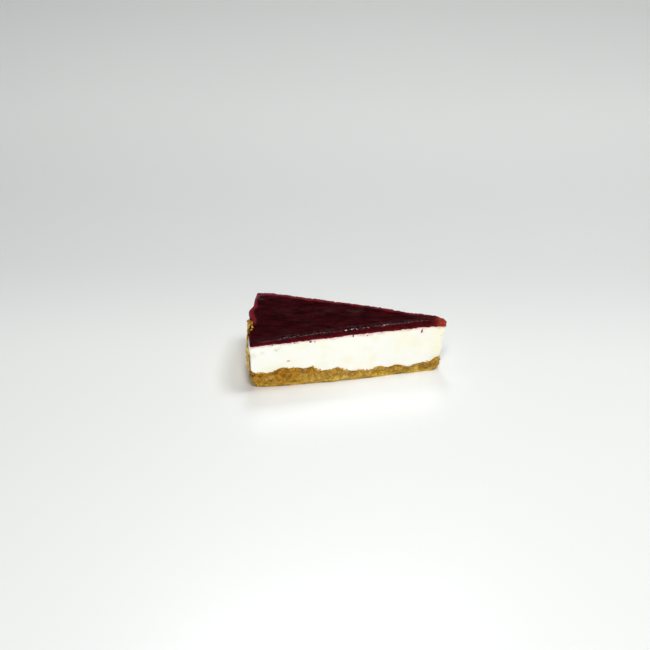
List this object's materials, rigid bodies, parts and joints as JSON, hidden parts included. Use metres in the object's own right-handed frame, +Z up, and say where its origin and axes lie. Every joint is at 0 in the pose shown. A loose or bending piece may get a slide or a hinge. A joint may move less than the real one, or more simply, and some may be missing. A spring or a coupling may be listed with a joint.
{
  "type": "cheesecake slice",
  "caption": "Wedge of cheesecake with a crumb crust and rim, a cream cheese filling and a dark fruit jelly top.",
  "frame": {"origin": "middle of the footprint's bounding box, on the surface that the slice stands on", "axes": "+X from the outer rim towards the pointed end, +Z up, the front cut faces -Y"},
  "size_m": [0.1172, 0.0616, 0.035],
  "materials": {
    "crust": "dry golden-brown biscuit crumb",
    "filling": "smooth off-white cream cheese, soft satin",
    "jelly": "moist dark burgundy fruit jelly"
  },
  "bodies": {
    "root": {"crumb_crust": "crust", "cheese_filling": "filling", "fruit_jelly": "jelly"}
  },
  "joints": []
}
